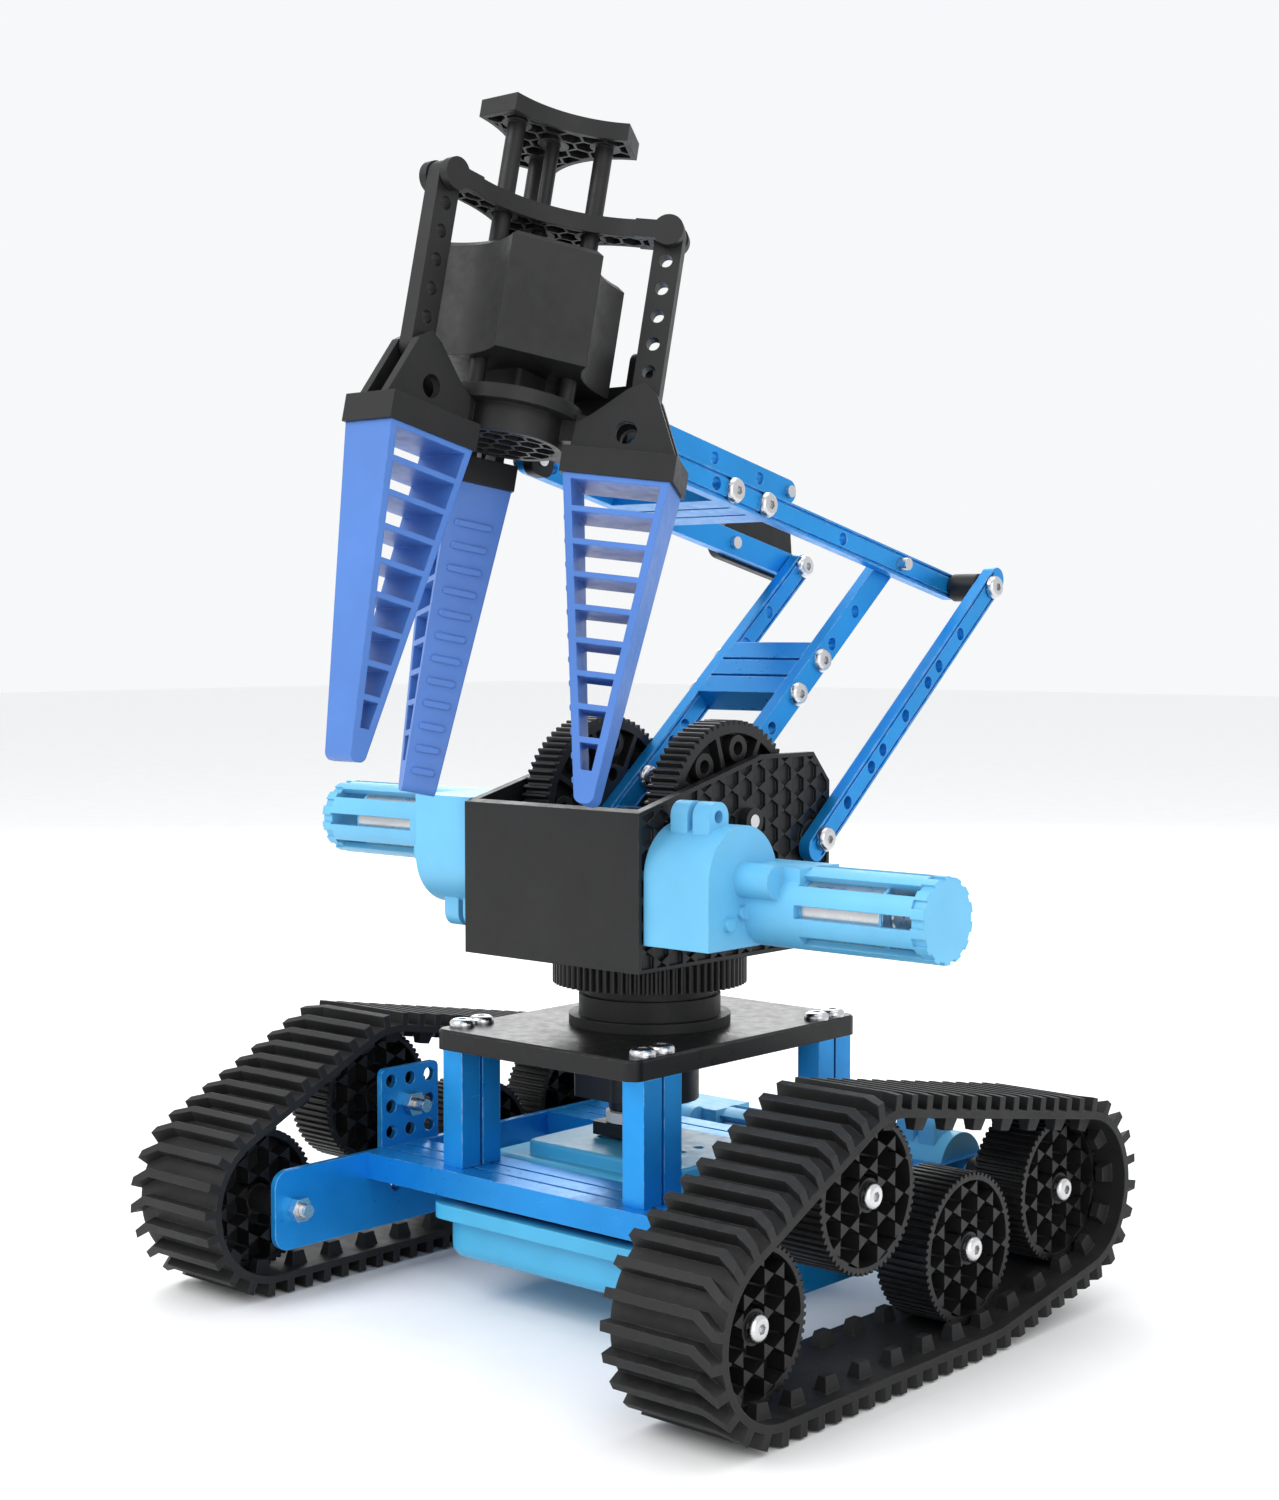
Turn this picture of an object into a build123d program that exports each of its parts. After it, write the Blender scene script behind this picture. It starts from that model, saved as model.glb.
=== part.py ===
from build123d import *
import math
import os

# A tracked robot with a slewing turret, a parallelogram arm and a
# three-finger claw.  Front is -Y, up is +Z, the floor is Z = 0.  The origin
# is on the floor under the middle of the whole robot.

# ---- driving dimensions (mm) -------------------------------------------
pitch = 8.0                 # hole grid of the building system
hole_r = 2.1                # clearance hole for M4
screw_r = 2.0
head_r = 3.8
head_h = 2.3
play = 0.5                  # gap between plates that slide past each other

slew_y = -5.50              # slew axis, so that the robot is centred on Y = 0

plate_t = 2.0               # side plate thickness
inner_half = 70.0           # half the distance between the side plates
side_plate_h = 24.0
side_plate_z = 28.0         # side plate's middle, on the front axle
front_axle_y = slew_y - 80.0

wheel_r = 21.2
wheel_w = 17.0
wheel_teeth = 62
track_x = 96.0              # middle of each track
belt_w = 36.0
belt_gap = 0.4
belt_t = 2.2
cleat_h = 3.81
cleat_count = 62
wheel_places = {
    "front_lower": (front_axle_y, side_plate_z),
    "front_upper": (front_axle_y + 6 * pitch, side_plate_z + 3 * pitch),
    "rear_lower": (front_axle_y + 12 * pitch, side_plate_z),
    "drive": (front_axle_y + 18 * pitch, side_plate_z + pitch),
}

beam_z = 32.0               # underside of the chassis cross beams
beam_h = 8.0
post_y = 5 * pitch          # posts stand this far before and behind the slew axis
post_x = 36.0
post_h = 36.0
base_z = beam_z + beam_h + post_h
base_t = 6.0
base_x = 80.0
base_y = 104.0
bush_h = 12.0
bush_r = 21.5
hub_r = 15.0

module = 0.8
gear_teeth = 72
pinion_teeth = 12
addendum = 0.75             # stub teeth, in modules
dedendum = 1.0
pressure = math.radians(25)
gear_w = 10.0
pitch_r = module * gear_teeth / 2
mesh_distance = module * (gear_teeth + pinion_teeth) / 2

slew_gear_z = base_z + base_t + bush_h + play
house_z = slew_gear_z + gear_w
house_x = 69.0
house_y = 88.0
house_wall = 3.0
house_front_h = 45.0
house_rear_h = 59.0
cell = 7.2                  # honeycomb cell, across flats with its wall

shoulder_y = slew_y + 4.0
shoulder_z = house_z + 40.0
gear_x = 24.5               # middle of each arm gear
arm_motor_drop = 13.0
arm_motor_back = math.sqrt(mesh_distance ** 2 - arm_motor_drop ** 2)
motor_y = shoulder_y - arm_motor_back
motor_z = shoulder_z - arm_motor_drop

bar_w = 8.0
bar_t = 4.0
boom_x = 15.5               # inner face of each boom
boom_angle = 40.0           # boom above the horizontal, leaning to the rear
boom_reach = 15 * pitch     # shoulder to elbow
fore_x = boom_x + bar_t + play
fore_angle = 13.0           # forearm rises to the front
fore_reach = 16 * pitch     # elbow to the claw's tail
tail_reach = 4 * pitch      # elbow to the rear link
link_x = house_x / 2 + play
claw_reach = fore_reach + 32.0

def yz(angle):
    """Unit direction in the YZ plane, from +Y towards +Z."""
    return math.cos(math.radians(angle)), math.sin(math.radians(angle))

def side_plane(x, y, z, angle=0.0):
    """Plane facing +X whose x axis runs at this angle from +Y towards +Z."""
    dy, dz = yz(angle)
    return Plane(origin=(x, y, z), x_dir=(0, dy, dz), z_dir=(1, 0, 0))

boom_dy, boom_dz = yz(boom_angle)
elbow_y = shoulder_y + boom_reach * boom_dy
elbow_z = shoulder_z + boom_reach * boom_dz
fore_dy, fore_dz = yz(180 - fore_angle)
link_low_y = shoulder_y - tail_reach * fore_dy
link_low_z = shoulder_z - tail_reach * fore_dz
claw_y = elbow_y + claw_reach * fore_dy
claw_z = elbow_z + claw_reach * fore_dz
tilt = math.radians(fore_angle)

# ---- the claw, along its own axis --------------------------------------
finger_turns = (30.0, 150.0, 270.0)
pivot_r = 24.0              # finger pivots, from the claw's axis
lever_r = 38.0              # lower link pivots
lever_h = 10.0
link_len = 48.0
yoke_h = lever_h + link_len
finger_l = 89.0
finger_top = 30.0
finger_tip = 5.0
finger_w_top = 18.0
finger_w_tip = 10.0
finger_splay = 4.0
pin_r = 1.5

os.makedirs("parts", exist_ok=True)


def save(builder, name):
    """Label a finished piece and write its STEP file."""
    builder.part.label = name
    export_step(builder.part, "parts/" + name + ".step")
    print(name, round(builder.part.volume, 1))


def gear_outline(teeth, phase):
    """Points of an involute gear with a tooth centred at this angle."""
    r_pitch = module * teeth / 2
    r_base = r_pitch * math.cos(pressure)
    r_tip = r_pitch + addendum * module
    r_root = r_pitch - dedendum * module
    involute = math.tan(pressure) - pressure
    half = math.pi / (2 * teeth) * 0.9 + involute
    low = max(r_base, r_root)
    flank = []
    for step in range(4):
        r = low + (r_tip - low) * step / 3
        roll = math.acos(min(1.0, r_base / r))
        flank.append((r, half - (math.tan(roll) - roll)))
    points = []
    for tooth in range(teeth):
        middle = phase + 2 * math.pi * tooth / teeth
        left = [(r_root, -flank[0][1] * 1.02)] + [(r, -a) for r, a in flank]
        right = [(r, a) for r, a in reversed(flank)] + [(r_root, flank[0][1] * 1.02)]
        for r, a in left + right:
            points.append((r * math.cos(middle + a), r * math.sin(middle + a)))
    return points


def rim_outline(count, r_out, depth):
    """Points of a rim with small square teeth."""
    points = []
    step = 2 * math.pi / count
    for tooth in range(count):
        for share, r in ((0.0, r_out - depth), (0.15, r_out), (0.55, r_out), (0.7, r_out - depth)):
            angle = step * (tooth + share)
            points.append((r * math.cos(angle), r * math.sin(angle)))
    return points


def screws(places):
    """Button-head screws: each place is a plane at the head's seat and a length."""
    with BuildPart() as group:
        for plane, length in places:
            with BuildSketch(plane):
                Circle(screw_r)
            extrude(amount=-length)
            with BuildSketch(plane):
                Circle(head_r)
            head = extrude(amount=head_h)
            rim = head.edges().filter_by(GeomType.CIRCLE)
            rim = rim.sort_by(lambda e: (e.center() - plane.origin).length)
            fillet(rim[-1], head_h * 0.7)
            with BuildSketch(plane.offset(head_h)):
                RegularPolygon(1.4, 6)
            extrude(amount=-1.5, mode=Mode.SUBTRACT)
    return group


def nuts(places, across=3.9, height=3.2):
    """Hex nuts standing on the given planes."""
    with BuildPart() as group:
        for plane in places:
            with BuildSketch(plane):
                RegularPolygon(across, 6)
                Circle(screw_r + 0.05, mode=Mode.SUBTRACT)
            extrude(amount=height)
    return group


def tubes(places, outer, inner):
    """Plain round spacers: each place is a plane and a length."""
    with BuildPart() as group:
        for plane, length in places:
            with BuildSketch(plane):
                Circle(outer)
                Circle(inner, mode=Mode.SUBTRACT)
            extrude(amount=length)
    return group


# ---- chassis ------------------------------------------------------------
side_plate_l = 22 * pitch
side_plate_y0 = front_axle_y - pitch
side_holes = [wheel_places["front_lower"], wheel_places["rear_lower"], wheel_places["drive"]]
side_holes += [(slew_y + s * post_y + o * pitch, beam_z + beam_h / 2) for s in (-1, 1) for o in (-1, 1)]
side_holes += [(side_plate_y0 + side_plate_l - pitch, side_plate_z)]
bracket_y = wheel_places["front_upper"][0]
side_holes += [(bracket_y - pitch, side_plate_z), (bracket_y + pitch, side_plate_z)]


def side_plate(name, x):
    with BuildPart() as plate:
        with BuildSketch(side_plane(x, side_plate_y0 + side_plate_l / 2, side_plate_z)):
            RectangleRounded(side_plate_l, side_plate_h, 5.0)
        extrude(amount=plate_t)
        for y, z in side_holes:
            wide = hole_r
            with BuildSketch(side_plane(x, y, z)):
                Circle(wide)
            extrude(amount=plate_t, mode=Mode.SUBTRACT)
    save(plate, name)


side_plate("side_plate_left", inner_half)
side_plate("side_plate_right", -inner_half - plate_t)


def slotted_beam(center, length, along_z=False, width=24.0):
    """Extruded beam with slots between its rails, along X or Z."""
    up = (0, 0, 1) if along_z else (1, 0, 0)
    rails = int(width / pitch + 0.5)
    with BuildPart() as beam:
        with BuildSketch(Plane(origin=center, x_dir=(0, 1, 0), z_dir=up)):
            Rectangle(width, beam_h)
            slot_y = [-width / 2 + pitch * (i + 1) for i in range(rails - 1)]
            slots = [(y, s * beam_h / 2) for y in slot_y for s in (-1, 1)]
            with Locations(*slots):
                Rectangle(1.2, 5.0, mode=Mode.SUBTRACT)
            ends = [(-width / 2 + pitch * (i + 0.5), 0) for i in range(rails)]
            with Locations(*ends):
                Circle(screw_r + 0.05, mode=Mode.SUBTRACT)
        extrude(amount=length)
    return beam.part


with BuildPart() as cross_beams:
    for side in (-1, 1):
        add(slotted_beam((-inner_half, slew_y + side * post_y, beam_z + beam_h / 2), 2 * inner_half))
    for side in (-1, 1):
        for x in (-post_x, post_x):
            for o in (-pitch / 2, pitch / 2):
                with BuildSketch(Plane.XY.offset(beam_z)):
                    with Locations((x, slew_y + side * post_y + o)):
                        Circle(hole_r)
                extrude(amount=beam_h, mode=Mode.SUBTRACT)
save(cross_beams, "chassis_cross_beams")

with BuildPart() as posts:
    for side in (-1, 1):
        for x in (-post_x, post_x):
            add(slotted_beam((x, slew_y + side * post_y, beam_z + beam_h), post_h, True, 16.0))
save(posts, "turret_posts")

bracket_z = side_plate_z + 1.5 * pitch
with BuildPart() as brackets:
    for x in (inner_half + plate_t, -inner_half - 2 * plate_t):
        with BuildSketch(side_plane(x, bracket_y, bracket_z)):
            RectangleRounded(3 * pitch, 6 * pitch, 2.0)
            with GridLocations(pitch, pitch, 3, 6):
                Circle(hole_r, mode=Mode.SUBTRACT)
        extrude(amount=plate_t)
save(brackets, "wheel_brackets")

# Control box: tray below the beams, stepped lid between them.
tray_z = 13.0
tray_top = beam_z - head_h - 0.3
lid_y = 2 * post_y - 24.0 - 2.0
with BuildPart() as tray:
    with BuildSketch(Plane.XY.offset(tray_z)):
        with Locations((0, slew_y)):
            RectangleRounded(80, 98, 8)
    extrude(amount=12)
    fillet(tray.faces().sort_by(Axis.Z)[0].edges(), 4)
    with BuildSketch(Plane.XY.offset(tray_z + 12)):
        with Locations((0, slew_y)):
            RectangleRounded(86, 104, 6)
    extrude(amount=tray_top - tray_z - 12)
    with BuildSketch(Plane.XY.offset(tray_z + 3)):
        with Locations((0, slew_y)):
            RectangleRounded(74, 92, 5)
    extrude(amount=beam_z, mode=Mode.SUBTRACT)
save(tray, "control_tray")

with BuildPart() as lid:
    with BuildSketch(Plane.XY.offset(tray_top)):
        with Locations((0, slew_y)):
            RectangleRounded(86, lid_y, 5)
    extrude(amount=beam_z + 8.7 - tray_top)
    fillet(lid.faces().sort_by(Axis.Z)[-1].edges(), 2.5)
    with BuildSketch(Plane.XY.offset(beam_z + 8)):
        with Locations((0, slew_y)):
            RectangleRounded(62, lid_y - 10, 3)
    extrude(amount=5)
    fillet(lid.faces().sort_by(Axis.Z)[-1].edges(), 1.2)
    with BuildSketch(Plane.XY.offset(beam_z + 13)):
        with Locations((0, slew_y)):
            with GridLocations(16, 8, 3, 2):
                Circle(1.6)
    extrude(amount=-1.0, mode=Mode.SUBTRACT)
save(lid, "control_lid")


def gearmotor(name, origin, out, up, barrel_l, shaft_l, box_l=30.0):
    """Offset gearmotor.  origin is where the shaft leaves the gearbox; out is the shaft's
    direction along X; up is where the dome and lugs point.  The barrel lies to the rear."""
    box_w = 23.5
    dome_r = box_l / 2
    box_drop = 19.0
    face = Plane(origin=origin, x_dir=(0, 1, 0), z_dir=(-out, 0, 0))
    turn = 1 if face.y_dir.Z * up > 0 else -1
    with BuildPart() as motor:
        with BuildSketch(face):
            Circle(dome_r)
            with Locations((0, -turn * box_drop / 2)):
                Rectangle(box_l, box_drop)
        extrude(amount=box_w)
        for offset in (4.0, 12.0):
            with BuildSketch(face.offset(offset)):
                with Locations((-4, turn * (dome_r + 2.2))):
                    Circle(4.2)
                with Locations((-4, turn * (dome_r - 3))):
                    Rectangle(8.4, 10)
                with Locations((-4, turn * (dome_r + 2.2))):
                    Circle(1.8, mode=Mode.SUBTRACT)
            extrude(amount=6.0)
        boss = face.offset(box_w)
        with BuildSketch(boss):
            Circle(4.8)
        extrude(amount=12)
        with BuildSketch(boss):
            with Locations((-7, -turn * 12), (-1, -turn * 9), (4, -turn * 13)):
                Circle(1.9)
        extrude(amount=1.6)
        axis_x, axis_y = 11.0, -turn * 7.5
        barrel_r = 11.8
        with BuildSketch(face.offset(box_w - 8)):
            with Locations((axis_x, axis_y)):
                Circle(barrel_r)
            with Locations((axis_x, axis_y + turn * 7)):
                Rectangle(18, 9)
        extrude(amount=8 + 18)
        cage = face.offset(box_w + 18)
        with BuildSketch(cage):
            with Locations((axis_x, axis_y)):
                Circle(barrel_r)
                Circle(barrel_r - 2.2, mode=Mode.SUBTRACT)
                with PolarLocations(barrel_r - 1, 8):
                    Rectangle(5, 3.6, mode=Mode.SUBTRACT)
        extrude(amount=barrel_l - 18 - 4)
        with BuildSketch(cage):
            with Locations((axis_x, axis_y)):
                Circle(barrel_r - 2.2)
        extrude(amount=(barrel_l - 22) * 0.72)
        with BuildSketch(face.offset(box_w + barrel_l - 4)):
            with Locations((axis_x, axis_y)):
                Circle(barrel_r)
                with PolarLocations(barrel_r + 0.4, 14):
                    Rectangle(2.4, 2.4, mode=Mode.SUBTRACT)
        extrude(amount=4)
        with BuildSketch(face):
            Circle(screw_r)
        extrude(amount=-shaft_l)
    save(motor, name)


drive_y, drive_z = wheel_places["drive"]
gearmotor("drive_motor_left", (inner_half, drive_y, drive_z), 1, 1, 45.0, 22.0, box_l=23.0)
gearmotor("drive_motor_right", (-inner_half, drive_y, drive_z), -1, 1, 45.0, 22.0, box_l=23.0)

# Slew motor under the base plate: box, output shaft, stub, connector block.
with BuildPart() as slew_motor:
    with BuildSketch(Plane.XY.offset(base_z - 17)):
        with Locations((0, slew_y)):
            Circle(15)
        with Locations((-9.5, slew_y)):
            RectangleRounded(19, 30, 3)
    extrude(amount=17)
    with BuildSketch(Plane.XY.offset(base_z - 21.5)):
        with Locations((-8, slew_y)):
            Circle(6.5)
    extrude(amount=4.5)
    with BuildSketch(Plane.XY.offset(base_z)):
        with Locations((0, slew_y)):
            Circle(6.0)
    extrude(amount=base_t)
    with BuildSketch(Plane.XY.offset(base_z + base_t)):
        with Locations((0, slew_y)):
            Circle(4.0)
    extrude(amount=5)
    with BuildSketch(Plane.XY.offset(base_z + base_t + 5)):
        with Locations((0, slew_y)):
            Circle(screw_r)
    extrude(amount=bush_h)

with BuildPart() as slew_motor_tail:
    with BuildSketch(Plane.XY.offset(base_z - 26)):
        with Locations((-8, slew_y)):
            RectangleRounded(9.5, 9.5, 1)
    extrude(amount=4.5)
    with BuildSketch(Plane.XY.offset(base_z - 30)):
        with Locations((-8, slew_y)):
            RectangleRounded(20, 13, 1)
    extrude(amount=4)
with BuildPart() as whole_slew_motor:
    add(slew_motor.part)
    add(slew_motor_tail.part)
save(whole_slew_motor, "slew_motor")

post_holes_y = [slew_y + side * post_y + o for side in (-1, 1) for o in (-pitch / 2, pitch / 2)]
plate_holes = [(x, y) for x in (-post_x, post_x) for y in post_holes_y]
with BuildPart() as base_plate:
    with BuildSketch(Plane.XY.offset(base_z)):
        with Locations((0, slew_y)):
            RectangleRounded(base_x, base_y, 4)
        with Locations(*plate_holes):
            Circle(hole_r, mode=Mode.SUBTRACT)
        with Locations((0, slew_y)):
            Circle(6.2, mode=Mode.SUBTRACT)
    extrude(amount=base_t)
    chamfer(base_plate.faces().sort_by(Axis.Z)[-1].outer_wire().edges(), 0.6)
save(base_plate, "base_plate")

with BuildPart() as bush:
    with BuildSketch(Plane.XY.offset(base_z + base_t)):
        with Locations((0, slew_y)):
            Circle(bush_r + 3)
            Circle(hub_r + 0.05, mode=Mode.SUBTRACT)
    extrude(amount=3)
    with BuildSketch(Plane.XY.offset(base_z + base_t + 3)):
        with Locations((0, slew_y)):
            Circle(bush_r)
            Circle(hub_r + 0.05, mode=Mode.SUBTRACT)
    extrude(amount=6)
    with BuildSketch(Plane.XY.offset(base_z + base_t + 9)):
        with Locations((0, slew_y)):
            Circle(bush_r - 1.5)
            Circle(hub_r + 0.05, mode=Mode.SUBTRACT)
    extrude(amount=bush_h - 9)
save(bush, "slew_bush")


# ---- tracks ---------------------------------------------------------------
def belt_places(radius, count):
    """Evenly spaced points (y, z) and outward directions along the belt's line."""
    centres = [wheel_places[name] for name in ("front_lower", "rear_lower", "drive", "front_upper")]
    stretches = []
    for index, (y, z) in enumerate(centres):
        next_y, next_z = centres[(index + 1) % 4]
        last_y, last_z = centres[index - 1]
        angle_in = math.atan2(z - last_z, y - last_y) - math.pi / 2
        angle_out = math.atan2(next_z - z, next_y - y) - math.pi / 2
        turn = (angle_out - angle_in) % (2 * math.pi)
        stretches.append(("arc", radius * turn, y, z, angle_in))
        stretches.append(("run", math.hypot(next_y - y, next_z - z), y, z, angle_out))
    total = sum(stretch[1] for stretch in stretches)
    places = []
    for index in range(count):
        left = total * (index + 0.5) / count
        for kind, length, y, z, angle in stretches:
            if left <= length:
                break
            left -= length
        if kind == "arc":
            angle += left / radius
            left = 0.0
        out_y, out_z = math.cos(angle), math.sin(angle)
        places.append((y + radius * out_y - left * out_z, z + radius * out_z + left * out_y, out_y, out_z))
    return places


def track_belt(name, side):
    inner = wheel_r + belt_gap
    outer = inner + belt_t
    low_x = side * track_x - belt_w / 2
    centres = [wheel_places[place] for place in ("front_lower", "rear_lower", "drive", "front_upper")]
    places = belt_places(outer, cleat_count)
    middle = side * track_x
    cleat_planes = [Plane(origin=(middle, y - 0.5 * a, z - 0.5 * b), x_dir=(1, 0, 0), z_dir=(0, a, b))
                    for y, z, a, b in places]
    sunk = belt_t - 0.4
    lug_planes = [Plane(origin=(middle, y - sunk * a, z - sunk * b), x_dir=(1, 0, 0), z_dir=(0, -a, -b))
                  for y, z, a, b in places[::2]]
    end = belt_w / 2
    with BuildPart() as belt:
        with BuildSketch(Plane.YZ.offset(low_x)):
            Polygon(*centres, align=None)
            offset(amount=outer)
        extrude(amount=belt_w)
        with BuildSketch(Plane.YZ.offset(low_x)):
            Polygon(*centres, align=None)
            offset(amount=inner)
        extrude(amount=belt_w, mode=Mode.SUBTRACT)
        with BuildSketch(*cleat_planes):
            with BuildLine():
                Polyline(
                    (-side * end, -1.3), (side * (end - 7), -1.3), (side * end, -5.0),
                    (side * end, -2.4), (side * (end - 6), 1.3), (-side * end, 1.3), close=True)
            make_face()
        extrude(amount=cleat_h + 0.5)
        with BuildSketch(*lug_planes):
            with Locations((-wheel_w / 2 - 3.0, 0), (wheel_w / 2 + 3.0, 0)):
                Rectangle(4.4, 6.0)
        extrude(amount=4.4, taper=12)
    save(belt, name)


track_belt("track_belt_left", 1)
track_belt("track_belt_right", -1)

with BuildPart() as wheel_blank:
    with BuildSketch(Plane.YZ.offset(-wheel_w / 2)):
        Polygon(*rim_outline(wheel_teeth, wheel_r, 0.9), align=None)
    extrude(amount=wheel_w)
    for face_x, way in ((-wheel_w / 2, 1), (wheel_w / 2, -1)):
        with BuildSketch(Plane.YZ.offset(face_x)):
            with HexLocations(4.7, 7, 7):
                RegularPolygon(4.2, 6, major_radius=False, rotation=30)
            Circle(wheel_r - 2.2, mode=Mode.INTERSECT)
            Circle(4.6, mode=Mode.SUBTRACT)
        extrude(amount=way * 6.0, mode=Mode.SUBTRACT)
        with BuildSketch(Plane.YZ.offset(face_x)):
            Circle(4.0)
        extrude(amount=way * 6.0)
    with BuildSketch(Plane.YZ.offset(-wheel_w / 2)):
        Circle(screw_r + 0.06)
    extrude(amount=wheel_w, mode=Mode.SUBTRACT)

for side_name, side in (("left", 1), ("right", -1)):
    for place_name, (y, z) in wheel_places.items():
        with BuildPart() as wheel:
            add(wheel_blank.part.moved(Location((side * track_x, y, z))))
            if place_name == "drive":
                with BuildSketch(Plane.YZ.offset(side * (track_x - wheel_w / 2))):
                    with Locations((y, z)):
                        Circle(4.8)
                        Circle(screw_r + 0.06, mode=Mode.SUBTRACT)
                extrude(amount=-side * 13.0)
        save(wheel, place_name + "_wheel_" + side_name)

free_wheels = [wheel_places[name] for name in ("front_lower", "front_upper", "rear_lower")]
wheel_out = track_x + wheel_w / 2 + 0.3
bolts = []
spacers = []
axle_nuts = []
for side in (-1, 1):
    facing = (side, 0, 0)
    for y, z in free_wheels:
        bolts.append((Plane(origin=(side * wheel_out, y, z), x_dir=(0, 1, 0), z_dir=facing), 40.5))
        inside = inner_half + (plate_t if y == bracket_y else 0)
        axle_nuts.append(Plane(origin=(side * inside, y, z), x_dir=(0, 1, 0), z_dir=(-side, 0, 0)))
        start = inner_half + (2 * plate_t if y == bracket_y else plate_t)
        spacers.append((Plane(origin=(side * start, y, z), x_dir=(0, 1, 0), z_dir=facing),
                        track_x - wheel_w / 2 - 0.3 - start))
    bolts.append((Plane(origin=(side * wheel_out, drive_y, drive_z), x_dir=(0, 1, 0), z_dir=facing), 12.0))
save(tubes(spacers, 4.0, screw_r + 0.05), "wheel_spacers")
save(nuts(axle_nuts), "wheel_nuts")

chassis_screws = []
for side in (-1, 1):
    for end in (-1, 1):
        for o in (-1, 1):
            layers = 2 if (end, o) == (-1, 1) else 1
            seat_x = side * (inner_half + layers * plate_t)
            seat = (seat_x, slew_y + end * post_y + o * pitch, beam_z + beam_h / 2)
            chassis_screws.append((Plane(origin=seat, x_dir=(0, 1, 0), z_dir=(side, 0, 0)), 10.0))
for x, y in plate_holes:
    chassis_screws.append((Plane(origin=(x, y, base_z + base_t), x_dir=(1, 0, 0), z_dir=(0, 0, 1)), 14.0))
    chassis_screws.append((Plane(origin=(x, y, beam_z), x_dir=(1, 0, 0), z_dir=(0, 0, -1)), 20.0))
save(screws(bolts + chassis_screws), "chassis_screws")


# ---- turret ---------------------------------------------------------------
half = house_x / 2
front_y = slew_y - house_y / 2
rear_y = slew_y + house_y / 2
panel_outline = [
    (front_y, house_z), (rear_y - 14, house_z), (rear_y, house_z + 16), (rear_y, house_z + house_rear_h - 9),
    (rear_y - 8, house_z + house_rear_h), (front_y + 55, house_z + house_rear_h),
    (front_y, house_z + house_front_h)]
panel_middle = (slew_y, house_z + house_rear_h / 2)
panel_holes = [(shoulder_y, shoulder_z), (motor_y, motor_z), (link_low_y, link_low_z)]
with BuildPart() as housing:
    with BuildSketch(Plane.YZ.offset(-half)):
        with BuildLine():
            Polyline(*panel_outline, close=True)
        make_face()
    extrude(amount=house_x)
    cavity = [
        (front_y + house_wall, house_z + house_wall), (rear_y - 15, house_z + house_wall),
        (rear_y - house_wall, house_z + 17.5), (rear_y - house_wall, house_z + 80),
        (front_y + house_wall, house_z + 80)]
    with BuildSketch(Plane.YZ.offset(-half + house_wall)):
        with BuildLine():
            Polyline(*cavity, close=True)
        make_face()
    extrude(amount=house_x - 2 * house_wall, mode=Mode.SUBTRACT)
    for x, way in ((half, -1), (-half, 1)):
        with BuildSketch(Plane.YZ.offset(x)):
            with BuildLine():
                Polyline(*panel_outline, close=True)
            make_face()
            offset(amount=-1.2, kind=Kind.INTERSECTION, mode=Mode.REPLACE)
            with Locations(panel_middle):
                with HexLocations(cell / 2, 14, 10):
                    RegularPolygon(cell / 2 - 0.5, 6, major_radius=False, rotation=30, mode=Mode.INTERSECT)
            for y, z in panel_holes:
                with Locations((y, z)):
                    Circle(5.5, mode=Mode.SUBTRACT)
        extrude(amount=way * 1.1, mode=Mode.SUBTRACT)
    with BuildSketch(Plane.YZ.offset(-half)):
        with Locations(*panel_holes):
            Circle(screw_r + 0.05)
    extrude(amount=house_x, mode=Mode.SUBTRACT)
    with BuildSketch(Plane.YZ.offset(-half)):
        with Locations((front_y + 14, house_z + 41), (front_y + 22, house_z + 41), (front_y + 30, house_z + 41)):
            Circle(hole_r)
    extrude(amount=house_x, mode=Mode.SUBTRACT)
    with BuildSketch(Plane.XY.offset(house_z)):
        with Locations((0, slew_y)):
            with PolarLocations(12, 4, start_angle=45):
                Circle(hole_r)
            Circle(hole_r)
    extrude(amount=house_wall, mode=Mode.SUBTRACT)
save(housing, "turret_housing")

with BuildPart() as slew_gear:
    with BuildSketch(Plane.XY.offset(slew_gear_z)):
        with Locations((0, slew_y)):
            Polygon(*gear_outline(gear_teeth, 0), align=None)
    extrude(amount=gear_w)
    with BuildSketch(Plane.XY.offset(slew_gear_z - bush_h)):
        with Locations((0, slew_y)):
            Circle(hub_r)
    extrude(amount=bush_h)
    with BuildSketch(Plane.XY.offset(slew_gear_z - bush_h)):
        with Locations((0, slew_y)):
            Circle(8.0)
    extrude(amount=8.0, mode=Mode.SUBTRACT)
    with BuildSketch(Plane.XY.offset(slew_gear_z - bush_h)):
        with Locations((0, slew_y)):
            Circle(screw_r + 0.06)
            with PolarLocations(12, 4, start_angle=45):
                Circle(hole_r)
    extrude(amount=bush_h + gear_w, mode=Mode.SUBTRACT)
save(slew_gear, "slew_gear")

shaft_half = half + 3.0
with BuildPart() as shaft:
    with BuildSketch(side_plane(-shaft_half, shoulder_y, shoulder_z)):
        Circle(screw_r)
    extrude(amount=2 * shaft_half)
save(shaft, "arm_shaft")

with BuildPart() as collars:
    add(tubes([
        (side_plane(half + 0.2, shoulder_y, shoulder_z), 2.7),
        (side_plane(-half - 2.9, shoulder_y, shoulder_z), 2.7)], 3.9, screw_r + 0.03).part)
save(collars, "shaft_collars")

gearmotor("turret_motor_left", (half + 0.05, motor_y, motor_z), -1, 1, 60.0, house_wall + 14.0)
gearmotor("turret_motor_right", (-half - 0.05, motor_y, motor_z), 1, -1, 60.0, house_wall + 14.0)

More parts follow.
